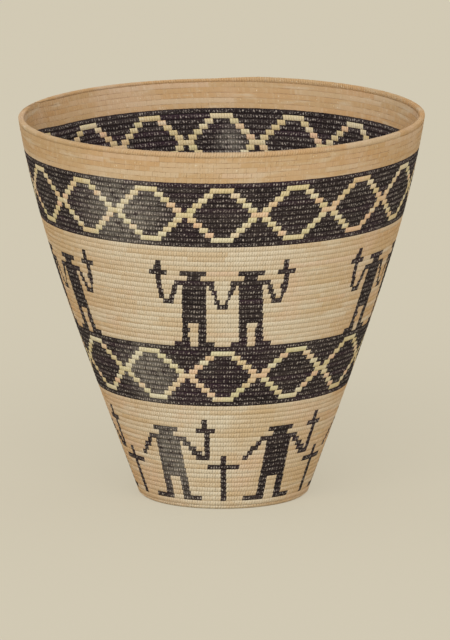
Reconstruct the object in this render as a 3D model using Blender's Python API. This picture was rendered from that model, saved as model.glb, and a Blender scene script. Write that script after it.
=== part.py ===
# Coiled basket: a flaring wall of sewn coil with two diamond bands, paired figures, men and crosses.
# Metres, +Z up. The origin is on the floor under the middle of the base, and the front faces -Y.
# Each run of light or dark sewing is a piece of its own, as thick as the wall it is let into.

import math

import bmesh
import bpy
import numpy as np

# The whole basket
HEIGHT = 0.350  # floor to the highest point of the rim
RIM_RADIUS = 0.1845  # outside, at the mouth
BASE_RADIUS = 0.0765  # outside, where the wall would meet the floor without its rounding
WALL_BULGE = 0.0086  # how far the middle of the wall stands out past a straight cone
WALL_SWAY = 0.0017  # how far the upper wall stands out past that bulge, and the lower wall draws in
WALL_THICKNESS = 0.005  # one coil, measured level
JOINT_GAP = 0.0003  # clearance between neighbouring pieces

# Courses of coil, from the floor up
HEEL_COURSES = 1
LOWER_WALL_COURSES = 22
LOWER_BAND_COURSES = 13
MIDDLE_WALL_COURSES = 21
UPPER_BAND_COURSES = 13
RIM_WALL_COURSES = 5
RIM_COURSES = 1

# Base, heel and rim
KNOT_RADIUS = 0.0065
COIL_CLEARANCE = 0.00045  # between the loops of the base coil
BASE_LIFT = 0.0005  # the base coil is clear of the floor, and the heel stands on it
HEEL_ROUNDING = 0.0042
HEEL_WIDTH = 0.0052  # least width of the heel's flat underside and rounding
KNOT_EDGE = 0.0006
RIM_STEP = 0.0018  # the last course rises by this in its one turn
RIM_SHOULDER = 0.45  # share of the last course's height below its rounded top
RIM_TAPER = 0.042  # length over which its end thins out
RIM_END_ANGLE = math.radians(182)  # where that end lies, at the back

# Diamond bands
UPPER_DIAMONDS = 16
LOWER_DIAMONDS = 12
LATTICE_FLAT = 0.0072  # half the flat top of each diamond's light frame
DIAMOND_TIP = 0.0046  # half the blunt top of each dark diamond
TOOTH_TIP = 0.0008  # half the tip of the dark teeth between the diamonds
LATTICE_BORDER = 1  # dark courses above and below the lattice

# Figures and crosses, in stitches across and courses up from their feet
STITCH = 0.0027
MEN = 6
PAIRS = 5
MEN_FOOT = 2  # course on which the men and the free crosses begin
MAN = {"foot": 8.7, "leg": 2.0, "waist": 4.5, "shoulder": 6.5, "head": 2.75, "hat": 5.0, "sole": 0}
PARTNER = {"foot": 7.0, "leg": 1.6, "waist": 4.1, "shoulder": 6.3, "head": 2.45, "hat": 4.5, "sole": 0.35}
PARTNER_REACH = 9.63  # from a partner's middle to the joined hands
ARMPIT = 1.1  # an arm begins this far in from the end of the shoulder
CROSS_STEM = 1.0  # half the width of a cross's stem
CROSS_ARM = 5.1  # half the length of a free cross's bar
HELD_ARM = 3.4  # half the length of a held cross's bar

# Fineness of the surfaces
COLUMNS = 32
CUTTER_MARGIN = 0.0015  # a cutter stands clear of both faces of the wall by this
COIL_POINTS = 21  # in each loop of the base coil
COURSES_IN_A_FACE = 11  # about as many courses lie between two rows of corners on a wall
ROUNDING_STEPS = 3
SHARP_EDGE = math.radians(35)  # faces that meet at more than this don't shade into each other
PROFILE_STEPS = 400
PLAN_RADIUS = 0.13  # radians are drawn at this radius where a panel is laid out flat
MERGE_DISTANCE = 0.00001  # between corners of a panel laid out flat

LIGHT = (0.60, 0.42, 0.21)
CREAM = (0.66, 0.54, 0.26)
DARK = (0.030, 0.022, 0.020)
FIBRE_ROUGHNESS = 0.75


def outer_radius(height):
    up = height / HEIGHT
    straight = BASE_RADIUS + (RIM_RADIUS - BASE_RADIUS) * up
    bulge = 4 * WALL_BULGE * up * (1 - up)
    sway = 6 * math.sqrt(3) * WALL_SWAY * up * (1 - up) * (2 * up - 1)
    return straight + bulge + sway


heights = np.linspace(0, HEIGHT, PROFILE_STEPS + 1)
rises = np.hypot(np.diff(heights), np.diff(outer_radius(heights)))
slants = np.concatenate(([0], np.cumsum(rises)))

# Course numbers at the joints between the zones
HEEL_TOP = HEEL_COURSES
LOWER_WALL_TOP = HEEL_TOP + LOWER_WALL_COURSES
LOWER_BAND_TOP = LOWER_WALL_TOP + LOWER_BAND_COURSES
MIDDLE_WALL_TOP = LOWER_BAND_TOP + MIDDLE_WALL_COURSES
UPPER_BAND_TOP = MIDDLE_WALL_TOP + UPPER_BAND_COURSES
RIM_WALL_TOP = UPPER_BAND_TOP + RIM_WALL_COURSES
COURSES = RIM_WALL_TOP + RIM_COURSES
COURSE = slants[-1] / COURSES  # height of one course along the slant of the wall
HALF_GAP = JOINT_GAP / 2
HALF_GAP_COURSES = HALF_GAP / COURSE
COLUMN_STEP = 2 * math.pi / COLUMNS


def height_of(course):
    return float(np.interp(course * COURSE, slants, heights))


def radius_of(course):
    return float(outer_radius(height_of(course)))


def on_wall(angle, course, depth):
    """The point at a depth behind the flat faces that a ring has between its columns.

    Angle 0 is the front, and grows towards +X.
    """
    off_middle = angle % COLUMN_STEP - COLUMN_STEP / 2
    radius = (radius_of(course) - depth) * math.cos(COLUMN_STEP / 2) / math.cos(off_middle)
    return (radius * math.sin(angle), -radius * math.cos(angle), height_of(course))


def clear_scene():
    for leftover in list(bpy.data.objects):
        bpy.data.objects.remove(leftover, do_unlink=True)


def fibre(name, colour):
    material = bpy.data.materials.new(name)
    material.use_nodes = True
    shader = material.node_tree.nodes["Principled BSDF"]
    shader.inputs["Base Color"].default_value = (*colour, 1)
    shader.inputs["Roughness"].default_value = FIBRE_ROUGHNESS
    shader.inputs["Metallic"].default_value = 0
    material.diffuse_color = (*colour, 1)
    return material


def add_object(name, mesh, colour):
    """A piece of the basket, in a fibre of its own."""
    piece = bpy.data.objects.new(name, mesh)
    piece.data.materials.append(fibre(name + "_fibre", colour))
    bpy.context.scene.collection.objects.link(piece)
    return piece


def add_mesh(name, shape, colour):
    mesh = bpy.data.meshes.new(name)
    shape.to_mesh(mesh)
    shape.free()
    mesh.shade_smooth()
    mesh.set_sharp_from_angle(angle=SHARP_EDGE)
    return add_object(name, mesh, colour)


def ring(name, section_at, colour):
    """A closed ring. section_at gives its section at an angle, as (radius, height) down the outside."""
    shape = bmesh.new()
    sections = []
    for column in range(COLUMNS):
        angle = column * COLUMN_STEP
        corners = [(r * math.sin(angle), -r * math.cos(angle), z) for r, z in section_at(angle)]
        sections.append([shape.verts.new(corner) for corner in corners])
    for here, after in zip(sections, sections[1:] + sections[:1]):
        for i in range(len(here)):
            shape.faces.new((here[i - 1], here[i], after[i], after[i - 1]))
    return add_mesh(name, shape, colour)


def row_lines(bottom, top):
    """Courses at which a zone's faces are split to follow the belly of the wall, midway in a course."""
    parts = max(1, round((top - bottom) / COURSES_IN_A_FACE))
    return [math.floor(bottom + (top - bottom) * k / parts) + 0.5 for k in range(1, parts)]


def wall_zone(name, bottom, top, colour):
    """A plain ring of wall between two joints."""
    levels = [top - HALF_GAP_COURSES, *reversed(row_lines(bottom, top)), bottom + HALF_GAP_COURSES]
    outside = [(radius_of(level), height_of(level)) for level in levels]
    inside = [(r - WALL_THICKNESS, z) for r, z in reversed(outside)]
    return ring(name, lambda angle: outside + inside, colour)


def mitred(before, point, after, shift):
    """The corner moved so that both its sides lie further left of their direction by the shift."""
    side_in = (point[0] - before[0], point[1] - before[1])
    side_out = (after[0] - point[0], after[1] - point[1])
    normals = []
    for x, y in (side_in, side_out):
        length = math.hypot(x, y)
        normals.append((-y / length, x / length))
    (ax, ay), (bx, by) = normals
    scale = shift / (1 + ax * bx + ay * by)
    return (point[0] + (ax + bx) * scale, point[1] + (ay + by) * scale)


def inset(outline, shift):
    """A counter-clockwise outline drawn in by the shift, or grown by a negative one."""
    count = len(outline)
    return [mitred(outline[i - 1], outline[i], outline[(i + 1) % count], shift) for i in range(count)]


def laid_flat(loops, lines):
    """Flat faces, one to a loop of (angle, course), split along every column and along the lines."""
    plan = bmesh.new()
    for loop in loops:
        plan.faces.new([plan.verts.new((a * PLAN_RADIUS, c * COURSE, 0)) for a, c in loop])
    bmesh.ops.remove_doubles(plan, verts=plan.verts[:], dist=MERGE_DISTANCE)
    angles = [angle for loop in loops for angle, course in loop]
    first = math.ceil(min(angles) / COLUMN_STEP)
    last = math.floor(max(angles) / COLUMN_STEP)
    cuts = [((k * COLUMN_STEP * PLAN_RADIUS, 0, 0), (1, 0, 0)) for k in range(first, last + 1)]
    cuts += [((0, line * COURSE, 0), (0, 1, 0)) for line in lines]
    for place, normal in cuts:
        everything = plan.verts[:] + plan.edges[:] + plan.faces[:]
        bmesh.ops.bisect_plane(plan, geom=everything, plane_co=place, plane_no=normal, dist=MERGE_DISTANCE)
    plan.normal_update()
    return plan


def slab(loops, lines=(), front=0.0, back=WALL_THICKNESS, seam=None):
    """A panel of the wall between two depths. A seam is the angle at which a full ring closes."""
    plan = laid_flat(loops, lines)
    shape = bmesh.new()
    skins = {}

    def skin_of(corner):
        if corner not in skins:
            angle, course = corner.co.x / PLAN_RADIUS, corner.co.y / COURSE
            skins[corner] = [shape.verts.new(on_wall(angle, course, depth)) for depth in (front, back)]
        return skins[corner]

    def on_seam(edge):
        ends = [corner.co.x for corner in edge.verts]
        closing = (seam * PLAN_RADIUS, (seam + 2 * math.pi) * PLAN_RADIUS) if seam is not None else ()
        return any(all(abs(end - side) < MERGE_DISTANCE for end in ends) for side in closing)

    for face in plan.faces:
        corners = list(face.verts) if face.normal.z > 0 else list(reversed(face.verts))
        pairs = [skin_of(corner) for corner in corners]
        shape.faces.new([pair[0] for pair in pairs])
        shape.faces.new([pair[1] for pair in reversed(pairs)])
        for i, corner in enumerate(corners):
            following = corners[(i + 1) % len(corners)]
            edge = plan.edges.get((corner, following))
            if len(edge.link_faces) == 1 and not on_seam(edge):
                (here, behind), (there, behind_there) = skin_of(corner), skin_of(following)
                # Each side starts at its left front corner. Its two triangles then meet along a diagonal
                # that always leans the same way, and the twisted sides of two neighbours stay apart.
                if corner.co.x < following.co.x:
                    shape.faces.new((here, behind, behind_there, there))
                else:
                    shape.faces.new((there, here, behind, behind_there))
    plan.free()
    if seam is not None:
        bmesh.ops.remove_doubles(shape, verts=shape.verts[:], dist=MERGE_DISTANCE)
    return shape


def placed(outline, middle, foot, shift):
    """An outline in stitches and courses, drawn in by the shift and set on the wall at an angle."""
    drawn = inset([(x * STITCH, (foot + y) * COURSE) for x, y in outline], shift)
    return [(middle + x / radius_of(y / COURSE), y / COURSE) for x, y in drawn]


def let_in(name, outline, count, first_angle, foot, zone, lines):
    """Dark pieces round the wall, and the openings in the zone that they fill."""
    cutters = bpy.data.collections.new(name + "_openings")
    bpy.context.scene.collection.children.link(cutters)
    for number in range(count):
        angle = first_angle + 2 * math.pi * number / count
        loop = placed(outline, angle, foot, HALF_GAP)
        add_mesh(f"{name}_{number + 1}", slab([loop], lines), DARK)
        opening = placed(outline, angle, foot, -HALF_GAP)
        mesh = bpy.data.meshes.new(f"{name}_opening_{number + 1}")
        shape = slab([opening], lines, -CUTTER_MARGIN, WALL_THICKNESS + CUTTER_MARGIN)
        shape.to_mesh(mesh)
        shape.free()
        cutter = bpy.data.objects.new(mesh.name, mesh)
        cutter.hide_render = True
        cutter.display_type = "WIRE"
        cutters.objects.link(cutter)
    cut = zone.modifiers.new(name + "_openings", "BOOLEAN")
    cut.operation = "DIFFERENCE"
    cut.solver = "EXACT"
    cut.operand_type = "COLLECTION"
    cut.collection = cutters


def mirrored(points):
    return [(-x, y) for x, y in reversed(points)]


def lower_side(body):
    """One side of a figure from between its legs to under its shoulder."""
    leg, foot, waist, sole = body["leg"], body["foot"], body["waist"], body["sole"]
    return [(leg, 5), (leg, sole), (foot, sole), (foot, 1), (waist, 1), (waist, 13)]


def upper_side(body):
    """One side of a figure from the top of its shoulder to the top of its hat."""
    shoulder, head, hat = body["shoulder"], body["head"], body["hat"]
    return [(shoulder, 14), (head, 14), (head, 15), (hat, 15), (hat, 16)]


def arm_with_cross(shoulder, elbow, elbow_course, stem):
    """An arm bent up to hold a cross, from under the shoulder round the hand."""
    fork = elbow_course + 1.2
    return [
        (shoulder - ARMPIT, 13),
        (elbow - 1.3, elbow_course),
        (elbow + 1.4, elbow_course),
        (elbow + 2.7, elbow_course + 1),
        (stem + CROSS_STEM, 15),
        (stem + HELD_ARM, 15),
        (stem + HELD_ARM, 16),
        (stem + CROSS_STEM, 16),
        (stem + CROSS_STEM, 18),
        (stem - CROSS_STEM, 18),
        (stem - CROSS_STEM, 16),
        (stem - HELD_ARM, 16),
        (stem - HELD_ARM, 15),
        (stem - CROSS_STEM, 15),
        (elbow + 1.1, fork),
        (elbow + 0.2, fork),
    ]


def open_arm(shoulder, hand):
    """An arm held out and down, with its hand turned out."""
    return [
        (shoulder - ARMPIT, 13),
        (hand - 2.7, 10),
        (hand - 2.5, 9),
        (hand, 9),
        (hand, 10),
        (hand - 0.6, 10),
    ]


def man_outline():
    right = lower_side(MAN) + arm_with_cross(MAN["shoulder"], 11.5, 9, 14.5) + upper_side(MAN)
    left = lower_side(MAN) + open_arm(MAN["shoulder"], 12.3) + upper_side(MAN)
    return right + mirrored(left)


def pair_outline():
    """Two partners with their inner hands joined and a cross in each outer hand."""
    shoulder = PARTNER["shoulder"]
    under_arm = [(shoulder - ARMPIT, 13), (PARTNER_REACH - 2, 9), (PARTNER_REACH - 1.6, 8)]
    over_arm = [(PARTNER_REACH - 0.9, 9)]
    inner_low = mirrored(lower_side(PARTNER) + under_arm)
    outer = lower_side(PARTNER) + arm_with_cross(shoulder, 8.6, 9, 12.4) + upper_side(PARTNER)
    inner_high = mirrored(over_arm + upper_side(PARTNER))
    right = [(x + PARTNER_REACH, y) for x, y in inner_low + outer + inner_high]
    return right + mirrored(right)


def cross_outline():
    stem, arm = CROSS_STEM, CROSS_ARM
    side = [(stem, 0), (stem, 7), (arm, 7), (arm, 8), (stem, 8), (stem, 10)]
    return side + mirrored(side)


def diamond_band(name, bottom, top, count):
    """A light lattice between two dark toothed rings, with dark diamonds in its meshes."""
    low, high = bottom + LATTICE_BORDER, top - LATTICE_BORDER
    waist = (low + high) / 2
    radius = radius_of(waist)
    half = math.pi * radius / count  # half the spacing of the diamonds
    shoulder = waist + 0.5  # the lattice is one course high where two diamonds meet
    slope = (half - TOOTH_TIP - LATTICE_FLAT) / (high - shoulder)
    diamond_top = high - 1  # the light line is one course high there too
    diamond_side = DIAMOND_TIP + slope * (diamond_top - shoulder)

    def edge_of_teeth(up, shift):
        """One zigzag round the band, above the waist for up 1 and below it for up -1."""
        ends = [(half - TOOTH_TIP, 0.5), (LATTICE_FLAT, high - waist)]
        period = [(-x, up * y * COURSE) for x, y in ends] + [(x, up * y * COURSE) for x, y in reversed(ends)]
        before = (period[3][0] - 2 * half, period[3][1])
        after = (period[0][0] + 2 * half, period[0][1])
        row = [before, *period, after]
        moved = [mitred(row[i - 1], row[i], row[i + 1], shift) for i in range(1, 5)]
        around = [(x + 2 * half * k, y) for k in range(count) for x, y in moved]
        seam_height = up * 0.5 * COURSE + shift
        whole = [(-half, seam_height), *around, ((2 * count - 1) * half, seam_height)]
        return [(x / radius, waist + y / COURSE) for x, y in whole]

    seam = -half / radius
    closing = seam + 2 * math.pi
    upper = edge_of_teeth(1, HALF_GAP)
    lower = edge_of_teeth(-1, -HALF_GAP)
    top_ring = [*upper, (closing, top - HALF_GAP_COURSES), (seam, top - HALF_GAP_COURSES)]
    bottom_ring = [*lower, (closing, bottom + HALF_GAP_COURSES), (seam, bottom + HALF_GAP_COURSES)]
    add_mesh(name + "_top_teeth", slab([top_ring], seam=seam), DARK)
    add_mesh(name + "_bottom_teeth", slab([bottom_ring], seam=seam), DARK)

    # From its right side over the top to its left side, and back below. The two corners at the height
    # of the waist are for the net, which is drawn in two halves.
    quarter = [(diamond_side, 0), (diamond_side, shoulder - waist), (DIAMOND_TIP, diamond_top - waist)]
    above = [(x, y * COURSE) for x, y in quarter + mirrored(quarter)]
    mesh_outline = above + [(-x, -y) for x, y in above[1:-1]]
    diamond = [(x, y) for x, y in mesh_outline if y != 0]
    left_side = len(above) - 1

    def set_round(outline, number):
        return [(x / radius + 2 * half * number / radius, waist + y / COURSE) for x, y in outline]

    def half_net(up):
        """The lattice above the waist for up 1, or below it for up -1."""
        opening = inset(mesh_outline, -HALF_GAP)
        rim = opening[left_side::-1] if up > 0 else opening[left_side:] + opening[:1]
        around = [(x, y) for number in range(count) for x, y in set_round(rim, number)]
        waist_line = [(seam, waist), *around, (closing, waist)]
        return waist_line[::-1] + edge_of_teeth(up, -up * HALF_GAP)

    add_mesh(name + "_lattice", slab([half_net(1), half_net(-1)], seam=seam), CREAM)
    for number in range(count):
        loop = set_round(inset(diamond, HALF_GAP), number)
        add_mesh(f"{name}_diamond_{number + 1}", slab([loop]), DARK)


def coil_route():
    """Middle points of the flat base coil, and the height and diameter of its tube."""
    diameter = COURSE - COIL_CLEARANCE
    first_radius = KNOT_RADIUS + JOINT_GAP + diameter / 2
    room = BASE_RADIUS - HEEL_WIDTH - JOINT_GAP - COURSE - diameter / 2 - first_radius
    loops = math.floor(room / COURSE)
    points = []
    for k in range(loops * COIL_POINTS + 1):
        turn = k / COIL_POINTS
        radius = first_radius + COURSE * turn
        angle = 2 * math.pi * turn
        points.append((radius * math.sin(angle), -radius * math.cos(angle)))
    # The first and last stretches run straight for one diameter of the tube.
    start, finish = points[0], points[-1]
    between = [p for p in points if math.dist(p, start) > diameter and math.dist(p, finish) > diameter]
    points = [start, *between, finish]
    return points, diameter


def beside(points, k, outward):
    """The point beside the k-th point of the coil, further from the middle by outward."""
    before, after = points[max(k - 1, 0)], points[min(k + 1, len(points) - 1)]
    x, y = after[0] - before[0], after[1] - before[1]
    length = math.hypot(x, y)
    return (points[k][0] + outward * y / length, points[k][1] - outward * x / length)


def ahead(points, k, along, outward):
    """The point ahead of an end of the coil by along, and outward of it."""
    near = 1 if k == 0 else len(points) - 2
    x, y = points[k][0] - points[near][0], points[k][1] - points[near][1]
    length = math.hypot(x, y)
    x, y = x / length, y / length
    turn = -1 if k == 0 else 1
    return (points[k][0] + x * along + turn * y * outward, points[k][1] + y * along - turn * x * outward)


def prism(name, outline, bottom, top):
    shape = bmesh.new()
    corners = [shape.verts.new((x, y, bottom)) for x, y in outline]
    floor = shape.faces.new(corners)
    raised = bmesh.ops.extrude_face_region(shape, geom=[floor])
    moved = [item for item in raised["geom"] if isinstance(item, bmesh.types.BMVert)]
    bmesh.ops.translate(shape, verts=moved, vec=(0, 0, top - bottom))
    bmesh.ops.recalc_face_normals(shape, faces=shape.faces[:])
    mesh = bpy.data.meshes.new(name)
    shape.to_mesh(mesh)
    shape.free()
    return mesh


def base():
    """The start knot, the flat coil sewn round it, and the heel that turns up into the wall."""
    points, diameter = coil_route()
    clear = diameter / 2 + JOINT_GAP
    beyond = COURSE - clear
    last = len(points) - 1
    coil_bottom, coil_top = BASE_LIFT, BASE_LIFT + diameter

    route = bpy.data.curves.new("base_coil", "CURVE")
    route.dimensions = "3D"
    route.bevel_depth = diameter / 2
    route.bevel_resolution = 1
    route.use_fill_caps = True
    spline = route.splines.new("POLY")
    spline.points.add(last)
    for point, (x, y) in zip(spline.points, points):
        point.co = (x, y, (coil_bottom + coil_top) / 2, 1)
    add_object("base_coil", route, LIGHT)
    half_turn = COIL_POINTS // 2
    least = min(math.dist(points[i], points[j]) for i in range(last) for j in range(i + half_turn, last + 1))
    print(f"Least gap between the loops of the base coil: {(least - diameter) * 1000:.2f} mm")

    first_turn = [k for k in range(1, last) if math.hypot(*points[k]) < KNOT_RADIUS + clear + COURSE]
    knot = [ahead(points, 0, JOINT_GAP, -clear)]
    knot += [beside(points, k, -clear) for k in first_turn]
    knot.append(ahead(points, 0, JOINT_GAP, beyond))
    button = add_object("start_knot", prism("start_knot", knot, coil_bottom, coil_top), LIGHT)
    soft_edge = button.modifiers.new("soft_edge", "BEVEL")
    soft_edge.width = KNOT_EDGE
    soft_edge.limit_method = "ANGLE"
    soft_edge.angle_limit = SHARP_EDGE

    end_radius = math.hypot(*points[last])
    last_turn = [k for k in range(1, last) if math.hypot(*points[k]) > end_radius - COURSE]
    hole = [ahead(points, last, JOINT_GAP, -beyond)]
    hole += [beside(points, k, clear) for k in last_turn]
    hole.append(ahead(points, last, JOINT_GAP, clear))

    heel_height = height_of(HEEL_TOP - HALF_GAP_COURSES)
    flat_edge = BASE_RADIUS - HEEL_ROUNDING
    wall_foot = float(outer_radius(min(HEEL_ROUNDING, heel_height)))
    outside = [(radius_of(HEEL_TOP - HALF_GAP_COURSES), heel_height)]
    for step in range(ROUNDING_STEPS, -1, -1):
        t = step / ROUNDING_STEPS
        radius = (1 - t) ** 2 * flat_edge + 2 * t * (1 - t) * BASE_RADIUS + t * t * wall_foot
        outside.append((radius, t * t * min(HEEL_ROUNDING, heel_height)))
    if outside[0][1] - outside[1][1] < JOINT_GAP:
        outside.pop(1)
    inner = end_radius - COURSE
    section = [*outside, (inner, 0), (inner, heel_height)]
    heel = ring("heel_coil", lambda angle: section, LIGHT)
    cutter = bpy.data.objects.new("heel_opening", prism("heel_opening", hole, -HEIGHT, HEIGHT))
    cutter.hide_render = True
    cutter.display_type = "WIRE"
    bpy.context.scene.collection.objects.link(cutter)
    cut = heel.modifiers.new("coil_bed", "BOOLEAN")
    cut.operation = "DIFFERENCE"
    cut.solver = "EXACT"
    cut.object = cutter


def rim_coil():
    """The last course. It leans out with the wall, rises as it goes round and thins out at its end."""
    bottom = height_of(RIM_WALL_TOP + HALF_GAP_COURSES)
    half = WALL_THICKNESS / 2
    taper = RIM_TAPER / RIM_RADIUS

    def section(angle):
        behind = (RIM_END_ANGLE - angle) % (2 * math.pi)  # how far the end lies ahead
        run = 2 * math.pi - taper
        gone = (2 * math.pi - behind) / run
        fall = RIM_STEP * (1 - gone) if behind > taper else RIM_STEP * (1 - behind / taper)
        top = HEIGHT - max(0, fall)
        spring = bottom + (top - bottom) * RIM_SHOULDER
        corners = [(-half, bottom), (-half, spring)]
        for step in range(1, 2 * ROUNDING_STEPS):
            t = math.pi * step / (2 * ROUNDING_STEPS)
            corners.append((-math.cos(t) * half, spring + math.sin(t) * (top - spring)))
        corners += [(half, spring), (half, bottom)]
        return [(float(outer_radius(z)) - half + out, z) for out, z in corners]

    ring("rim_coil", section, LIGHT)


def build():
    clear_scene()
    base()
    lower_wall = wall_zone("lower_wall", HEEL_TOP, LOWER_WALL_TOP, LIGHT)
    lower_lines = row_lines(HEEL_TOP, LOWER_WALL_TOP)
    turn = 2 * math.pi / MEN
    let_in("lower_man", man_outline(), MEN, turn / 2, MEN_FOOT, lower_wall, lower_lines)
    let_in("lower_cross", cross_outline(), MEN, 0, MEN_FOOT, lower_wall, lower_lines)
    diamond_band("lower", LOWER_WALL_TOP, LOWER_BAND_TOP, LOWER_DIAMONDS)
    middle_wall = wall_zone("middle_wall", LOWER_BAND_TOP, MIDDLE_WALL_TOP, LIGHT)
    middle_lines = row_lines(LOWER_BAND_TOP, MIDDLE_WALL_TOP)
    let_in("figure_pair", pair_outline(), PAIRS, 0, LOWER_BAND_TOP, middle_wall, middle_lines)
    diamond_band("upper", MIDDLE_WALL_TOP, UPPER_BAND_TOP, UPPER_DIAMONDS)
    wall_zone("rim_wall", UPPER_BAND_TOP, RIM_WALL_TOP, LIGHT)
    rim_coil()


build()
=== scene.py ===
import math
import random

import bpy
import numpy as np
from mathutils import Matrix, Vector
from mathutils.bvhtree import BVHTree


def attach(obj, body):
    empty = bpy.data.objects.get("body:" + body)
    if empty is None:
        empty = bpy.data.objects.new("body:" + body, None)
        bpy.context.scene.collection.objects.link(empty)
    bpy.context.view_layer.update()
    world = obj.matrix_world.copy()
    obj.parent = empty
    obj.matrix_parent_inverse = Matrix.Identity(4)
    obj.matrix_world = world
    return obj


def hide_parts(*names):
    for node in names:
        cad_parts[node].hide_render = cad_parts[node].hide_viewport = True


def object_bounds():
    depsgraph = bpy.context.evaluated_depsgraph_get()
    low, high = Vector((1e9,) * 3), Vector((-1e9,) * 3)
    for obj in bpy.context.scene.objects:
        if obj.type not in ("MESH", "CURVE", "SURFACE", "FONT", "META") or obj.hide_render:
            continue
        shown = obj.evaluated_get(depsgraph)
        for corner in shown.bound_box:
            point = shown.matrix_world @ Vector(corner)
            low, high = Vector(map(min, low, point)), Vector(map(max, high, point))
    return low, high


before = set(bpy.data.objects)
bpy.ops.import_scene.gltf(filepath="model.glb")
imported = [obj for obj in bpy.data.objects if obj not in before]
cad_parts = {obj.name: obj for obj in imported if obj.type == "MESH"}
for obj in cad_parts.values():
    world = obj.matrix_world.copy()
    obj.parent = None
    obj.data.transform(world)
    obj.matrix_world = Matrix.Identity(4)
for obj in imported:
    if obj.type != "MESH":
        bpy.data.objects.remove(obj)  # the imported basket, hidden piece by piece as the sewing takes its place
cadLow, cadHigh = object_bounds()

# The coil as it was sewn: from the middle of the base round and round up to the rim.
# A place on it is an angle, 0 at the front and growing towards +X, and a course, 0 where the heel
# meets the floor and one more for each turn up the wall. The turns of the base are below 0.

basket = {
    "height": cadHigh.z,
    "rimRadius": 0.1845,
    "baseRadius": 0.0765,
    "bulge": 0.0086,
    "sway": 0.0017,
    "wall": 0.005,
    "courses": 76,
    "lowerWallTop": 23,
    "lowerBandTop": 36,
    "middleWallTop": 57,
    "upperBandTop": 70,
    "rimWallTop": 75,
}

coil = {
    "stitch": 0.0024,  # from one stitch to the next
    "plump": 1.14,  # each stitch is this much higher than its course, and sinks into the next one
    "roundness": 6.0,
    "fold": math.pi,  # a stitch's faces that meet at more than this don't shade into each other
    "waist": 0.98,  # height of a stitch's two sides against its middle
    "lean": 0.16,
    "unevenness": 0.03,
    "sides": 10,  # faces round a stitch
    "climb": math.radians(24),  # the stretch before the seam in which a turn climbs
    "thinnest": 0.08,  # the last turn ends where it has thinned out to this share of a course
    "baseTurns": 14,
    "heelTurn": -2,  # first turn that belongs to the heel
    "firstTurn": 0.0090,  # radius of the first turn round the knot
    "lastTurn": 0.0699,  # radius of the last turn before the heel
    "baseMiddle": 0.0027,
    "baseThickness": 0.0044,
    "heelRadius": 0.0743,
    "heelMiddle": 0.0028,
    "heelTurned": math.radians(38),
    "steadyTurns": 8,  # over so many turns the base goes from an even spiral to level turns
    "tiltReach": 0.3,  # courses above and below a place between which its tilt is measured
    "aheadReach": 0.004,  # angle before and behind a stitch between which its direction is measured
}


def outerRadius(z):
    # A straight flare with a belly and a sway. Its factors make bulge and sway the most they add.
    up = z / basket["height"]
    straight = basket["baseRadius"] + (basket["rimRadius"] - basket["baseRadius"]) * up
    bulge = 4 * basket["bulge"] * up * (1 - up)
    return straight + bulge + 6 * math.sqrt(3) * basket["sway"] * up * (1 - up) * (2 * up - 1)


# Every turn ends at the seam, one course higher than it began. The seam stands at the left in the
# gaps between figures and at a waist of each lattice, so that its step breaks nothing.
seams = [
    (basket["lowerWallTop"], math.radians(249.3)),
    (basket["lowerBandTop"], math.radians(255)),
    (basket["middleWallTop"], math.radians(253)),
    (basket["courses"], math.radians(258.75)),
]


def seamAt(row):
    return next((angle for top, angle in seams if row < top), seams[-1][1])


profileSteps = 400
heights = np.linspace(0, basket["height"], profileSteps + 1)
slants = np.concatenate(([0], np.cumsum(np.hypot(np.diff(heights), np.diff(outerRadius(heights))))))
courseHigh = slants[-1] / basket["courses"]


def heightOf(course):
    return float(np.interp(course * courseHigh, slants, heights))


def smooth(t):
    t = min(1.0, max(0.0, t))
    return t * t * (3 - 2 * t)


def wallSection(course):
    # Radius, height and tilt of the middle of the coil on the wall.
    z = heightOf(course)
    reach = coil["tiltReach"]
    below, above = heightOf(course - reach), heightOf(min(course + reach, basket["courses"]))
    tilt = math.atan2(above - below, float(outerRadius(above) - outerRadius(below)))
    return float(outerRadius(z)) - basket["wall"] / 2, z, tilt


def section(course):
    # The same from the base to the rim. A tilt of 0 lies flat and a right angle stands upright.
    # The base ends at course -0.5, the heel is at 0.5, and the wall goes on from 1.5.
    pitch = (coil["lastTurn"] - coil["firstTurn"]) / (coil["baseTurns"] - 1)
    if course <= -0.5:
        return coil["lastTurn"] + (course + 0.5) * pitch, coil["baseMiddle"], 0.0
    heel = (coil["heelRadius"], coil["heelMiddle"], coil["heelTurned"])
    if course <= 0.5:
        ends = (coil["lastTurn"], coil["baseMiddle"], 0.0), heel
        t = course + 0.5
    elif course <= 1.5:
        ends = heel, wallSection(1.5)
        t = course - 0.5
    else:
        return wallSection(course)
    return tuple(a + (b - a) * t for a, b in zip(*ends))


def courseAt(row, angle):
    # The coil's course at an angle of one turn, which runs from seam - 360 degrees to the seam.
    through = (angle - seamAt(row)) / (2 * math.pi) + 1
    step = smooth((angle - seamAt(row) + coil["climb"]) / coil["climb"])
    steady = min(1.0, max(0.0, (row + coil["baseTurns"]) / coil["steadyTurns"]))
    return row + 0.5 + (1 - steady) * through + steady * step


def place(row, angle):
    radius, z, tilt = section(min(courseAt(row, angle), basket["courses"] - 0.5))
    return Vector((radius * math.sin(angle), -radius * math.cos(angle), z)), tilt


def turned(row, angle, tilt):
    # Axes of a stitch: along the coil, in through the wall, and up across the course.
    ahead, behind = (place(row, angle + way * coil["aheadReach"])[0] for way in (1, -1))
    along = (ahead - behind).normalized()
    out = Vector((math.sin(angle), -math.cos(angle), 0))
    up = out * math.cos(tilt) + Vector((0, 0, math.sin(tilt)))
    up = (up - along * up.dot(along)).normalized()
    return Matrix((along, up.cross(along), up)).transposed()


# How many stitches go round a turn: a multiple with which the middle line of each figure falls
# between two stitches, and one count through a band, so that the steps of its lattice line up.
stitchSteps = [
    (basket["lowerWallTop"], 12),
    (basket["lowerBandTop"], 312),
    (basket["middleWallTop"], 10),
    (basket["upperBandTop"], 416),
    (basket["courses"], 12),
]


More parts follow.
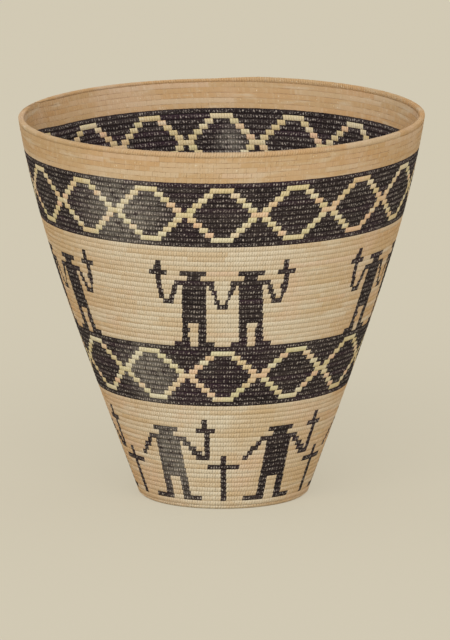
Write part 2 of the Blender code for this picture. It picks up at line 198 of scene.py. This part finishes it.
def stitchesIn(row):
    # None is counted for the flat turns, where nothing has to line up.
    if row < 0:
        return 0
    row = min(row, basket["courses"] - 1)
    radius = section(row + 0.5)[0]
    step = next(step for top, step in stitchSteps if row < top)
    return max(1, round(2 * math.pi * radius / coil["stitch"] / step)) * step


def firstEdge(row):
    # Where a turn's first stitch begins. From the heel on, the edges are counted from the front.
    count = stitchesIn(row)
    start = seamAt(row - 1) - 2 * math.pi
    if not count:
        return start
    step = 2 * math.pi / count
    exact = 1e-9  # keeps a start that falls on an edge there
    return math.ceil(start / step - exact) * step


def stitchAngles(row):
    # The middle of each stitch of a turn, and its width against the usual one. In the flat turns
    # it is as wide as the room at its outer edge, so that no slit opens there.
    start, finish = firstEdge(row), firstEdge(row + 1) + 2 * math.pi
    count = stitchesIn(row)
    if not count:
        count = round(2 * math.pi * section(row + 1)[0] / coil["stitch"])
        edges = list(np.linspace(start, finish, count + 1))
    else:
        step = 2 * math.pi / count
        even = int((seamAt(row) - coil["climb"] - start) / step)
        rest = max(1, round((finish - start) / step - even))
        turn = start + even * step
        edges = [start + k * step for k in range(even)] + list(np.linspace(turn, finish, rest + 1))
    angles = []
    for a, b in zip(edges, edges[1:]):
        middle = (a + b) / 2
        radius = section(row + 0.5)[0]
        if row < 0:
            radius = section(courseAt(row, middle))[0] + courseHigh / 2
        angles.append((middle, (b - a) * radius / coil["stitch"]))
    return angles


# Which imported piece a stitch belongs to

search = {
    "outside": 0.008,  # how far outside the coil's middle it starts
    "length": 0.012,
    "aside": (0, 0.0005, -0.0005, 0.001, -0.001),
}

nodeFaces, nodeOfFace, corners = [], [], []
for name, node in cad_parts.items():
    first = len(corners)
    corners += [vertex.co.copy() for vertex in node.data.vertices]
    for face in node.data.polygons:
        nodeFaces.append([first + v for v in face.vertices])
        nodeOfFace.append(name)
solids = BVHTree.FromPolygons(corners, nodeFaces)


def nodeAt(row, angle):
    # Looks in from outside at the middle of the stitch, and beside it where that meets a gap.
    if row < 1:
        return "heel_coil" if row >= coil["heelTurn"] else "base_coil"
    if row >= basket["rimWallTop"]:
        return "rim_coil"
    radius, z, tilt = section(row + 0.5)
    for aside in search["aside"]:
        beside = angle + aside / radius
        out = Vector((math.sin(beside), -math.cos(beside), 0))
        start = out * (radius + search["outside"]) + Vector((0, 0, z))
        face = solids.ray_cast(start, -out, search["length"])[2]
        if face is not None:
            return nodeOfFace[face]
    return "lower_wall" if row < basket["lowerWallTop"] else "middle_wall"


pieces = {
    "baseCoil": ("base_coil", "light_sewing"),
    "heelCoil": ("heel_coil", "light_sewing"),
    "lowerWall": ("lower_wall", "light_sewing"),
    "lowerMen": ("lower_man_", "dark_sewing"),
    "lowerCrosses": ("lower_cross_", "dark_sewing"),
    "lowerBottomTeeth": ("lower_bottom_teeth", "dark_sewing"),
    "lowerTopTeeth": ("lower_top_teeth", "dark_sewing"),
    "lowerLattice": ("lower_lattice", "cream_sewing"),
    "lowerDiamonds": ("lower_diamond_", "dark_sewing"),
    "middleWall": ("middle_wall", "light_sewing"),
    "figurePairs": ("figure_pair_", "dark_sewing"),
    "upperBottomTeeth": ("upper_bottom_teeth", "dark_sewing"),
    "upperTopTeeth": ("upper_top_teeth", "dark_sewing"),
    "upperLattice": ("upper_lattice", "cream_sewing"),
    "upperDiamonds": ("upper_diamond_", "dark_sewing"),
    "rimWall": ("rim_wall", "light_sewing"),
    "rimCoil": ("rim_coil", "light_sewing"),
    "startKnot": ("start_knot", "light_sewing"),
}
pieceMost = 3500  # stitches in one piece, past which a wall is divided by courses

# The last course is lower where it starts, rises as it goes round and thins out at its end.
rim = {"end": math.radians(182), "rise": 0.0018, "taper": 0.042}

# Hands have rubbed the rim wall flat, so that its courses show as lines more than as ribs. Its finish is
# darker, with stronger lines, as painted shade in place of the shade of ribs.
rubbed = {"roundness": 8.0, "fold": math.radians(35)}
rimFinishes = {"rimWall": "rubbed_shaded_sewing", "rimCoil": "lip_sewing"}


def rimTop(angle):
    behind = (rim["end"] - angle) % (2 * math.pi)
    taper = rim["taper"] / basket["rimRadius"]
    gone = (2 * math.pi - behind) / (2 * math.pi - taper)
    fall = rim["rise"] * (1 - gone) if behind > taper else rim["rise"] * (1 - behind / taper)
    return basket["height"] - max(0.0, fall)


def stitchSize(row, angle):
    # Where the middle of a stitch lies, its tilt, and its thickness and height against the usual.
    middle, tilt = place(row, angle)
    thick = coil["baseThickness"] / basket["wall"] if row <= coil["heelTurn"] else 1.0
    high = 1.0
    course = courseAt(row, angle)
    if course > basket["rimWallTop"] - 0.5:  # the rim, and the end of the turn before it
        bottom = heightOf(course - 0.5)
        top = min(heightOf(course + 0.5), rimTop(angle))
        z = (top + bottom) / 2
        radius = float(outerRadius(z)) - basket["wall"] / 2
        middle = Vector((radius * math.sin(angle), -radius * math.cos(angle), z))
        overlap = (1 + 1 / coil["plump"]) / 2  # half as much as elsewhere, because nothing lies above
        high = (top - bottom) / (math.sin(tilt) * courseHigh) * overlap
    return middle, tilt, thick, high


# Splints run out after a while and the next has another tone. Worn patches are greyer, and one patch at the
# back is a painted sheen on the inside of the wall.
splint = {"shortest": 14, "longest": 46, "seed": 5}
wornAndSheenPatches = [  # angle in degrees, course, half the width in degrees, half the height in courses
    (-32, 63.5, 16, 8),
    (-33, 29.5, 14, 7.5),
    (-28, 11, 12, 10),
    # a painted sheen on the inside of the back wall
    (177, 62, 5, 5),
]
wornAndSheenCore = 0.3  # share of each patch, of wear and of painted sheen alike, that is covered evenly


def wornAndSheenAt(angle, course):
    most = 0.0
    for middle, level, wide, high in wornAndSheenPatches:
        off = (math.degrees(angle) - middle + 180) % 360 - 180
        reach = math.hypot(off / wide, (course - level) / high)
        most = max(most, 1 - smooth(reach - wornAndSheenCore))
    return most


# Painted light and shade: the front and the back are painted lighter, as painted light, and the two sides
# browner, as painted shade. Towards the rim less painted light is given, so that the rim stays brown.
paintedLight = {"middle": math.radians(-2), "back": 0.6, "rimStart": 50, "rimKept": 0.85}


def paintedLightAt(angle, course):
    facing = math.cos(angle - paintedLight["middle"])
    lit = facing ** 2 * (1 if facing > 0 else paintedLight["back"])
    nearRim = smooth((course - paintedLight["rimStart"]) / (basket["courses"] - paintedLight["rimStart"]))
    return lit * (1 - paintedLight["rimKept"] * nearRim)


def sewBasket():
    # Every stitch of the basket in the order of the coil, sorted by the piece it belongs to.
    rng = random.Random(splint["seed"])
    sewn = {name: [] for name in pieces}
    left, tone, lastSlot = 0, 0.5, ""
    for row in range(-coil["baseTurns"], basket["courses"]):
        for angle, wide in stitchAngles(row):
            middle, tilt, thick, high = stitchSize(row, angle)
            if high < coil["thinnest"]:
                continue
            node = nodeAt(row, angle)
            owner = next(name for name, (start, slot) in pieces.items() if node.startswith(start))
            slot = pieces[owner][1]
            if left <= 0 or slot != lastSlot:
                left, tone, lastSlot = rng.randint(splint["shortest"], splint["longest"]), rng.random(), slot
            left -= 1
            sewn[owner].append({
                "place": middle,
                "turn": turned(row, angle, tilt).to_euler(),
                "size": (wide, thick, high),
                "run": tone,
                "wornAndSheen": wornAndSheenAt(angle, row + 0.5),
                "paintedLit": paintedLightAt(angle, row + 0.5),
            })
    return sewn


# The stitch itself

def addNode(tree, kind, settings=None, **links):
    # A node with its settings and inputs. An input goes by its name, or by i and its number.
    node = tree.nodes.new(kind)
    for key, value in (settings or {}).items():
        setattr(node, key, value)
    for key, value in links.items():
        socket = node.inputs[int(key[1:])] if key[0] == "i" and key[1:].isdigit() else node.inputs[key]
        if isinstance(value, bpy.types.NodeSocket):
            tree.links.new(value, socket)
        else:
            socket.default_value = value
    return node


def sums(tree, operation, first, second=0.0):
    return addNode(tree, "ShaderNodeMath", {"operation": operation}, i0=first, i1=second).outputs[0]


def product(tree, first, second):
    return sums(tree, "MULTIPLY", first, second)


def stitchTree():
    # Sets one closed stitch on every point of a carrier, turned and sized by the point's attributes.
    tree = bpy.data.node_groups.new("sewnCoil", "GeometryNodeTree")
    tree.is_modifier = True
    sockets = [
        ("Points", "NodeSocketGeometry", None),
        ("Stitch width", "NodeSocketFloat", coil["stitch"]),
        ("Coil thickness", "NodeSocketFloat", basket["wall"]),
        ("Stitch height", "NodeSocketFloat", courseHigh * coil["plump"]),
        ("Roundness", "NodeSocketFloat", coil["roundness"]),
        ("Fold", "NodeSocketFloat", coil["fold"]),
        ("Waist", "NodeSocketFloat", coil["waist"]),
        ("Lean", "NodeSocketFloat", coil["lean"]),
        ("Unevenness", "NodeSocketFloat", coil["unevenness"]),
        ("Seed", "NodeSocketInt", 1),
        ("Finish", "NodeSocketMaterial", None),
    ]
    for name, kind, value in sockets:
        socket = tree.interface.new_socket(name, in_out="INPUT", socket_type=kind)
        if value is not None:
            socket.default_value = value
    tree.interface.new_socket("Sewing", in_out="OUTPUT", socket_type="NodeSocketGeometry")
    given = tree.nodes.new("NodeGroupInput").outputs

    # The stitch is a short closed tube along the coil: squared, drawn in at its sides, and leaned.
    tube = addNode(tree, "GeometryNodeMeshCylinder", {"fill_type": "NGON"},
                   Vertices=coil["sides"], Radius=1.0, Depth=1.0, **{"Side Segments": 2})
    spot = addNode(tree, "ShaderNodeSeparateXYZ", i0=addNode(tree, "GeometryNodeInputPosition").outputs[0])
    power = sums(tree, "DIVIDE", 2.0, given["Roundness"])

    def squared(value):  # pushes a circle out towards a rounded square
        grown = sums(tree, "POWER", sums(tree, "ABSOLUTE", value), power)
        return product(tree, grown, sums(tree, "SIGN", value))

    aside = sums(tree, "ABSOLUTE", spot.outputs[2])  # 0 in the middle of the stitch, a half at its sides
    drawnIn = product(tree, product(tree, aside, 2.0), sums(tree, "SUBTRACT", 1.0, given["Waist"]))
    full = sums(tree, "SUBTRACT", 1.0, drawnIn)
    across = squared(spot.outputs[1])
    halfThick = product(tree, given["Coil thickness"], 0.5)
    halfHigh = product(tree, given["Stitch height"], 0.5)
    thick = product(tree, squared(spot.outputs[0]), halfThick)
    high = product(tree, across, halfHigh)
    thick, high = product(tree, thick, full), product(tree, high, full)
    along = sums(tree, "ADD", product(tree, spot.outputs[2], given["Stitch width"]),
                 product(tree, high, given["Lean"]))
    shape = addNode(tree, "ShaderNodeCombineXYZ", i0=along, i1=thick, i2=high).outputs[0]
    marked = tube.outputs["Mesh"]  # before it is moved, because the two marks follow the plain tube
    for key, mark in (("rib", sums(tree, "ABSOLUTE", across)), ("side", product(tree, aside, 2.0))):
        marked = addNode(tree, "GeometryNodeStoreNamedAttribute", {"data_type": "FLOAT", "domain": "POINT"},
                         Geometry=marked, Name=key, Value=mark).outputs[0]
    moved = addNode(tree, "GeometryNodeSetPosition", Geometry=marked, Position=shape)
    rounded = addNode(tree, "GeometryNodeSetShadeSmooth", {"domain": "FACE"},
                      Geometry=moved.outputs[0], Selection=tube.outputs["Side"])
    bend = addNode(tree, "GeometryNodeInputMeshEdgeAngle").outputs["Unsigned Angle"]
    folded = addNode(tree, "FunctionNodeCompare", {"data_type": "FLOAT", "operation": "GREATER_THAN"},
                     A=bend, B=given["Fold"])
    rounded = addNode(tree, "GeometryNodeSetShadeSmooth", {"domain": "EDGE"}, Geometry=rounded.outputs[0],
                      Selection=folded.outputs[0], **{"Shade Smooth": False})

    def fromPoint(name, kind):
        return addNode(tree, "GeometryNodeInputNamedAttribute", {"data_type": kind}, Name=name).outputs[0]

    def jitter(kind, least, most, offset):
        seed = sums(tree, "ADD", given["Seed"], offset)
        low, high, out = {"FLOAT_VECTOR": ("i0", "i1", 0), "FLOAT": ("i2", "i3", 1)}[kind]
        limits = {low: least, high: most}
        return addNode(tree, "FunctionNodeRandomValue", {"data_type": kind}, Seed=seed, **limits).outputs[out]

    # One on each point, none quite like the next
    uneven = given["Unevenness"]
    turnJitter = jitter("FLOAT_VECTOR", product(tree, uneven, -1.0), uneven, 10)
    turn = addNode(tree, "ShaderNodeVectorMath", {"operation": "ADD"},
                   i0=fromPoint("turn", "FLOAT_VECTOR"), i1=turnJitter)
    smallest, largest = sums(tree, "SUBTRACT", 1.0, uneven), sums(tree, "ADD", 1.0, uneven)
    sizeJitter = jitter("FLOAT_VECTOR", smallest, largest, 20)
    size = addNode(tree, "ShaderNodeVectorMath", {"operation": "MULTIPLY"},
                   i0=fromPoint("size", "FLOAT_VECTOR"), i1=sizeJitter)
    rotation = addNode(tree, "FunctionNodeEulerToRotation", i0=turn.outputs[0])
    sewn = addNode(tree, "GeometryNodeInstanceOnPoints", Points=given["Points"], Instance=rounded.outputs[0],
                   Rotation=rotation.outputs[0], Scale=size.outputs[0])
    shaded = addNode(tree, "GeometryNodeStoreNamedAttribute", {"data_type": "FLOAT", "domain": "INSTANCE"},
                     Geometry=sewn.outputs[0], Name="shade", Value=jitter("FLOAT", 0.0, 1.0, 30))
    real = addNode(tree, "GeometryNodeRealizeInstances", Geometry=shaded.outputs[0])
    dyed = addNode(tree, "GeometryNodeSetMaterial", Geometry=real.outputs[0], Material=given["Finish"])
    tree.links.new(dyed.outputs[0], tree.nodes.new("NodeGroupOutput").inputs[0])
    return tree


def plainMesh(carrier):
    # The modifier's result as a mesh of its own, with the modifier gone.
    graph = bpy.context.evaluated_depsgraph_get()
    mesh = bpy.data.meshes.new_from_object(carrier.evaluated_get(graph), depsgraph=graph)
    mesh.name = carrier.name
    points = carrier.data
    carrier.modifiers.clear()
    carrier.data = mesh
    bpy.data.meshes.remove(points)
    return carrier


def sewPiece(name, stitches, tree, finish, seed, form):
    # A carrier with a point for each stitch, which the tree turns into the sewing.
    mesh = bpy.data.meshes.new(name)
    mesh.from_pydata([stitch["place"] for stitch in stitches], [], [])
    for key in ("turn", "size"):
        values = np.array([tuple(stitch[key]) for stitch in stitches], np.float32)
        mesh.attributes.new(key, "FLOAT_VECTOR", "POINT").data.foreach_set("vector", values.ravel())
    for key in ("run", "wornAndSheen", "paintedLit"):
        values = np.array([stitch[key] for stitch in stitches], np.float32)
        mesh.attributes.new(key, "FLOAT", "POINT").data.foreach_set("value", values)
    piece = bpy.data.objects.new(name, mesh)
    bpy.context.scene.collection.objects.link(piece)
    modifier = piece.modifiers.new("sewing", "NODES")
    modifier.node_group = tree
    inputs = {item.name: item.identifier for item in tree.interface.items_tree if item.in_out == "INPUT"}
    modifier[inputs["Seed"]] = seed
    modifier[inputs["Roundness"]] = form["roundness"]
    modifier[inputs["Fold"]] = form["fold"]
    modifier[inputs["Finish"]] = finish
    return plainMesh(piece)


# Finishes

# In each finish the first tone is painted shade on the two sides and the browner rim, the second painted light
# on the front and back.
sewing = {
    "light_sewing": {
        "shadedSidesAndRim": (0.530, 0.308, 0.130), "paintedLit": (0.620, 0.525, 0.375), "pale": (0.665, 0.575, 0.425),
        "deep": (0.540, 0.375, 0.195), "blush": (0.620, 0.430, 0.275), "blushed": 0.06,
        "groove": (0.470, 0.310, 0.160), "grooveStart": 0.78, "grooveLeast": 0.0, "grooveMost": 0.6,
        "spot": (0.700, 0.600, 0.420), "spotLow": 0.60, "spotHigh": 0.80, "spotReach": 0.62,
        "wornAndSheen": (0.640, 0.540, 0.390), "wornAndSheenMost": 0.7, "roughness": 0.75, "gloss": 0.35,
    },
    "cream_sewing": {
        "shadedSidesAndRim": (0.600, 0.440, 0.215), "paintedLit": (0.650, 0.570, 0.350), "pale": (0.720, 0.670, 0.500),
        "deep": (0.570, 0.520, 0.275), "blush": (0.700, 0.430, 0.270), "blushed": 0.40,
        "groove": (0.420, 0.300, 0.150), "grooveStart": 0.76, "grooveLeast": 0.15, "grooveMost": 0.9,
        "spot": (0.780, 0.700, 0.520), "spotLow": 0.60, "spotHigh": 0.80, "spotReach": 0.62,
        "wornAndSheen": (0.680, 0.610, 0.450), "wornAndSheenMost": 0.7, "roughness": 0.75, "gloss": 0.35,
    },
    "dark_sewing": {
        "shadedSidesAndRim": (0.025, 0.017, 0.017), "paintedLit": (0.036, 0.026, 0.024), "pale": (0.056, 0.043, 0.039),
        "deep": (0.014, 0.010, 0.011), "blush": (0.038, 0.020, 0.028), "blushed": 0.30,
        "groove": (0.008, 0.005, 0.005), "grooveStart": 0.55, "grooveLeast": 0.2, "grooveMost": 0.9,
        "spot": (0.440, 0.380, 0.325), "spotLow": 0.46, "spotHigh": 0.70, "spotReach": 0.74,
        "wornAndSheen": (0.185, 0.165, 0.135), "wornAndSheenMost": 0.8, "roughness": 0.85, "gloss": 0.12,
    },
}
# The rim wall's finish: darker tones and stronger lines between the courses, painted shade in place of the
# shading that its flat faces lack. The lip takes the same darker tones with faint lines.
sewing["rubbed_shaded_sewing"] = {
    **sewing["light_sewing"],
    "shadedSidesAndRim": (0.500, 0.290, 0.122), "paintedLit": (0.575, 0.480, 0.335), "pale": (0.590, 0.480, 0.330),
    "deep": (0.480, 0.325, 0.165), "blush": (0.575, 0.400, 0.255), "blushed": 0.15,
    "groove": (0.330, 0.200, 0.100), "grooveStart": 0.72, "grooveLeast": 0.2, "grooveMost": 1.0,
}
sewing["lip_sewing"] = {**sewing["rubbed_shaded_sewing"], "grooveLeast": 0.0, "grooveMost": 0.15}


def mixed(tree, share, first, second):
    node = addNode(tree, "ShaderNodeMix", {"data_type": "RGBA"})
    for index, value in ((0, share), (6, first), (7, second)):
        if isinstance(value, bpy.types.NodeSocket):
            tree.links.new(value, node.inputs[index])
        else:
            node.inputs[index].default_value = (*value, 1) if isinstance(value, tuple) else value
    return node.outputs[2]


def between(tree, value, low, high, toLow=0.0, toHigh=1.0):
    node = addNode(tree, "ShaderNodeMapRange", {"interpolation_type": "SMOOTHSTEP"}, i0=value)
    for index, number in ((1, low), (2, high), (3, toLow), (4, toHigh)):
        node.inputs[index].default_value = number
    return node.outputs[0]


# Noise in the fibre, as its scale, detail, stretch and shift
noises = {
    "deep": (11, 2, (1, 1, 1), 0.0),
    "blush": (19, 3, (1, 1, 1), 4.0),
    "pale": (24, 2, (1, 1, 6), 9.0),
    "wornAndSheen": (160, 3, (1, 1, 1), 2.0),
    "spotted": (620, 1, (1, 1, 1), 5.0),
    "line": (70, 3, (1, 1, 2.5), 7.0),
    "rough": (300, 2, (1, 1, 1), 1.0),
    "grain": (1500, 2, (1, 1, 0.22), 3.0),
}

# Blotches over every finish: the tone, where its noise begins and is full, and the most it covers
blotches = [("deep", 0.50, 0.72, 0.7), ("blush", 0.54, 0.70, 0.6), ("pale", 0.55, 0.70, 0.5)]

weathering = {
    "tints": 7.0,  # gives each splint a second tone from its first
    "splintShare": 0.5,  # the most of a splint's own tone
    "blushShare": 0.8,
    "stitchShare": 0.18,  # the most of a stitch's own tone
    "wornAndSheenRange": (0.25, 0.60),
    "spottedAtWornAndSheen": 0.08,
    "spotMiddle": 0.1,
    "spotSides": (0.95, 0.25),
    "grooveEnd": 0.90,
    "grooveAtWornAndSheen": 0.4,  # share of the painted groove shade that is left where the sewing is worn and under the painted sheen
    "brokenRange": (0.40, 0.60),
    "roughRange": (0.3, 0.7),
    "smoother": 0.08,
    "rougher": 0.1,
    "grainStrength": 0.25,
    "grainHigh": 0.0003,
}


def fibre(name):
    # Split plant fibre sewn over a coil: each splint its own tone, with painted shade as darker lines between
    # the courses.
    look = sewing[name]
    material = bpy.data.materials.new(name)
    material.use_nodes = True
    tree = material.node_tree
    shader = tree.nodes["Principled BSDF"]
    where = addNode(tree, "ShaderNodeTexCoord").outputs["Object"]

    def attribute(key):
        return addNode(tree, "ShaderNodeAttribute", {"attribute_name": key}).outputs["Fac"]

    def noise(key):
        scale, detail, stretch, shift = noises[key]
        moved = addNode(tree, "ShaderNodeMapping", Vector=where)
        moved.inputs["Scale"].default_value = stretch
        moved.inputs["Location"].default_value = (shift, shift, shift)
        grain = addNode(tree, "ShaderNodeTexNoise", Vector=moved.outputs[0])
        grain.inputs["Scale"].default_value = scale
        grain.inputs["Detail"].default_value = detail
        return grain.outputs["Fac"]

    run, shade, rib, side, wornAndSheen, paintedLit = (
        attribute(key) for key in ("run", "shade", "rib", "side", "wornAndSheen", "paintedLit"))
    # Painted light and shade round the basket: browner sides as painted shade, a lighter front and back as
    # painted light.
    colour = mixed(tree, paintedLit, look["shadedSidesAndRim"], look["paintedLit"])
    most = weathering["splintShare"]
    colour = mixed(tree, between(tree, run, 0.5, 1.0, 0.0, most), colour, look["pale"])
    colour = mixed(tree, between(tree, run, 0.5, 0.0, 0.0, most), colour, look["deep"])
    tint = sums(tree, "FRACT", product(tree, run, weathering["tints"]))
    blushing = between(tree, tint, 1 - look["blushed"], 1.0, 0.0, weathering["blushShare"])
    colour = mixed(tree, blushing, colour, look["blush"])
    for tone, low, high, most in blotches:
        colour = mixed(tree, between(tree, noise(tone), low, high, 0.0, most), colour, look[tone])
    most = weathering["stitchShare"]
    colour = mixed(tree, between(tree, shade, 0.6, 1.0, 0.0, most), colour, look["pale"])
    colour = mixed(tree, between(tree, shade, 0.4, 0.0, 0.0, most), colour, look["deep"])
    # Greyer where the sewing is worn, and a painted sheen on the inside of the back wall
    wornAndSheenHere = product(tree, wornAndSheen, between(tree, noise("wornAndSheen"), *weathering["wornAndSheenRange"]))
    colour = mixed(tree, product(tree, wornAndSheenHere, look["wornAndSheenMost"]), colour, look["wornAndSheen"])

    # A pale spot in the middle of some stitches: partly a rubbed splint, partly a painted highlight on the
    # stitch's bulge
    spot = product(tree, between(tree, rib, look["spotReach"], weathering["spotMiddle"]),
                   between(tree, side, *weathering["spotSides"]))
    spotted = sums(tree, "ADD", noise("spotted"), product(tree, wornAndSheen, weathering["spottedAtWornAndSheen"]))
    spotHere = between(tree, spotted, look["spotLow"], look["spotHigh"])
    colour = mixed(tree, product(tree, spot, spotHere), colour, look["spot"])

    # Painted shade: the broken dark line in the groove between two courses
    line = product(tree, between(tree, rib, look["grooveStart"], weathering["grooveEnd"]),
                   between(tree, wornAndSheen, 0, 1, 1, weathering["grooveAtWornAndSheen"]))
    broken = between(tree, noise("line"), *weathering["brokenRange"], look["grooveLeast"], look["grooveMost"])
    colour = mixed(tree, product(tree, line, broken), colour, look["groove"])
    tree.links.new(colour, shader.inputs["Base Color"])

    least, most = look["roughness"] - weathering["smoother"], look["roughness"] + weathering["rougher"]
    rough = between(tree, noise("rough"), *weathering["roughRange"], least, most)
    tree.links.new(rough, shader.inputs["Roughness"])
    shader.inputs["Specular IOR Level"].default_value = look["gloss"]
    bump = addNode(tree, "ShaderNodeBump", Height=noise("grain"))
    bump.inputs["Strength"].default_value = weathering["grainStrength"]
    bump.inputs["Distance"].default_value = weathering["grainHigh"]
    tree.links.new(bump.outputs[0], shader.inputs["Normal"])
    return material


# The knot in the middle of the base: a small button of fibre, and stitches laid out from it to the
# first turn of the coil. They get longer as that turn leaves the middle, and every other one is short.

knot = {
    "radius": 0.0026,  # of the button
    "thickness": 0.0046,
    "stitches": 24,
    "inner": 0.0021,  # where the long stitches begin, and the short ones
    "shortInner": 0.0050,
    "tucked": 0.0012,  # how far they run under the coil
    "wide": 1.2,
    "tone": {"run": 0.4, "wornAndSheen": 0.0, "paintedLit": 0.2},
}


def knotStitches():
    middle = Vector((0, 0, coil["baseMiddle"]))
    made = []
    firstRow = -coil["baseTurns"]
    for k in range(knot["stitches"]):
        angle = seamAt(firstRow) + 2 * math.pi * ((k + 0.5) / knot["stitches"] - 1)
        out = Vector((math.sin(angle), -math.cos(angle), 0))
        along = Vector((math.cos(angle), math.sin(angle), 0))
        turn = Matrix((along, out.cross(along), out)).transposed().to_euler()
        outer = section(courseAt(firstRow, angle))[0] - courseHigh * coil["plump"] / 2 + knot["tucked"]
        inner = knot["shortInner"] if k % 2 else knot["inner"]
        length = (outer - inner) / courseHigh / coil["plump"]
        size = (knot["wide"], coil["baseThickness"] / basket["wall"], length)
        made.append({"place": middle + out * (inner + outer) / 2, "turn": turn, "size": size, **knot["tone"]})
    upright = Matrix(((1, 0, 0), (0, 0, 1), (0, -1, 0))).to_euler()
    button = (2 * knot["radius"] / coil["stitch"], knot["thickness"] / basket["wall"],
              2 * knot["radius"] / courseHigh / coil["plump"])
    made.append({"place": middle, "turn": upright, "size": button, **knot["tone"]})
    return made


def dressBasket():
    tree = stitchTree()
    finishes = {name: fibre(name) for name in sewing}
    print("finishes and stitch ready")
    sewn = sewBasket()
    print(sum(len(stitches) for stitches in sewn.values()), "stitches on the coil")
    sewn["startKnot"] = knotStitches()
    seed = 0
    for name, stitches in sewn.items():
        start, slot = pieces[name]
        nodes = [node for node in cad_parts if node.startswith(start)]
        parts = math.ceil(len(stitches) / pieceMost)
        share = math.ceil(len(stitches) / parts)
        for part in range(parts):
            seed += 1
            full = name if parts == 1 else f"{name}{part + 1}"
            form = rubbed if name == "rimWall" else coil
            finish = finishes[rimFinishes.get(name, slot)]
            piece = sewPiece(full, stitches[part * share:(part + 1) * share], tree, finish, seed, form)
            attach(piece, "root")
            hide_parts(*nodes)
        print(name, len(stitches), "stitches for", len(nodes), "nodes")


# Floor, light and camera

studio = {
    "floor": (0.600, 0.555, 0.435),
    "floorReach": 40.0,
    "backdrop": (0.640, 0.580, 0.450),
    "behind": (0.645, 0.588, 0.458),  # beyond the floor's edge
    "evenness": 0.7,
    "world": 0.80,
    "keyStrength": 1.70,
    "keyFrom": (-7, 33),  # degrees round from the front towards -X, and up
    "keySoft": math.radians(60),
}

shot = {
    "distance": 10.0,
    "elevation": math.radians(11.95),
    "pixel": 0.000909,  # metres at the middle of the basket
    "frame": (450, 640),
    "middle": (222.6, 302.8),  # where the middle of the basket lies in the picture
    "roll": math.radians(-0.3),
    "sensor": 36,
    "farthest": 1000,
}


def seenShare(tree):
    # 1 for rays that show the backdrop itself, 0 for those that carry its light to the basket.
    path = addNode(tree, "ShaderNodeLightPath").outputs
    shiny = sums(tree, "ADD", path["Is Glossy Ray"], path["Is Transmission Ray"])
    return sums(tree, "ADD", path["Is Camera Ray"], shiny)


def makeStudio():
    mesh = bpy.data.meshes.new("floor")
    reach = studio["floorReach"]
    sheet = [(-reach, -reach, 0), (reach, -reach, 0), (reach, reach, 0), (-reach, reach, 0)]
    mesh.from_pydata(sheet, [], [(0, 1, 2, 3)])
    floor = bpy.data.objects.new("floor", mesh)
    bpy.context.scene.collection.objects.link(floor)
    paper = bpy.data.materials.new("paperFloor")
    paper.use_nodes = True
    tree = paper.node_tree
    shader = tree.nodes["Principled BSDF"]
    shader.inputs["Base Color"].default_value = (*studio["floor"], 1)
    shader.inputs["Roughness"].default_value = 1.0
    shader.inputs["Specular IOR Level"].default_value = 0.0
    # To the camera the floor is mostly an even sheet, so that the basket's shadow on it stays faint.
    even = addNode(tree, "ShaderNodeEmission", Color=(*studio["backdrop"], 1))
    share = product(tree, seenShare(tree), studio["evenness"])
    both = addNode(tree, "ShaderNodeMixShader", i0=share, i1=shader.outputs[0], i2=even.outputs[0])
    tree.links.new(both.outputs[0], tree.nodes["Material Output"].inputs["Surface"])
    mesh.materials.append(paper)

    world = bpy.data.worlds.new("studio")
    world.use_nodes = True
    tree = world.node_tree
    tree.nodes["Background"].inputs["Color"].default_value = (1, 1, 1, 1)
    tree.nodes["Background"].inputs["Strength"].default_value = studio["world"]
    behind = addNode(tree, "ShaderNodeBackground", Color=(*studio["behind"], 1))
    both = addNode(tree, "ShaderNodeMixShader", i0=seenShare(tree),
                   i1=tree.nodes["Background"].outputs[0], i2=behind.outputs[0])
    tree.links.new(both.outputs[0], tree.nodes["World Output"].inputs["Surface"])
    bpy.context.scene.world = world

    key = bpy.data.lights.new("key", "SUN")
    key.energy = studio["keyStrength"]
    key.angle = studio["keySoft"]
    lamp = bpy.data.objects.new("key", key)
    around, up = (math.radians(value) for value in studio["keyFrom"])
    towards = Vector((math.sin(around) * math.cos(up), -math.cos(around) * math.cos(up), math.sin(up)))
    lamp.rotation_euler = towards.to_track_quat("Z", "Y").to_euler()
    bpy.context.scene.collection.objects.link(lamp)


def makeCamera():
    camera = bpy.data.cameras.new("camera")
    wide, high = shot["frame"]
    camera.sensor_width = shot["sensor"]
    camera.lens = camera.sensor_width * shot["distance"] / (high * shot["pixel"])
    camera.clip_end = shot["farthest"]
    eye = bpy.data.objects.new("camera", camera)
    back = Vector((0, -math.cos(shot["elevation"]), math.sin(shot["elevation"])))
    up = Vector((0, math.sin(shot["elevation"]), math.cos(shot["elevation"])))
    right = Vector((1, 0, 0))
    middle = Vector((0, 0, basket["height"] / 2))
    aim = middle + right * (wide / 2 - shot["middle"][0]) * shot["pixel"]
    aim -= up * (high / 2 - shot["middle"][1]) * shot["pixel"]
    turn = Matrix((right, up, back)).transposed().to_4x4() @ Matrix.Rotation(shot["roll"], 4, "Z")
    eye.matrix_world = Matrix.Translation(aim + back * shot["distance"]) @ turn
    bpy.context.scene.collection.objects.link(eye)
    bpy.context.scene.camera = eye


dressBasket()
makeStudio()
makeCamera()
bpy.context.scene.view_settings.view_transform = "Standard"
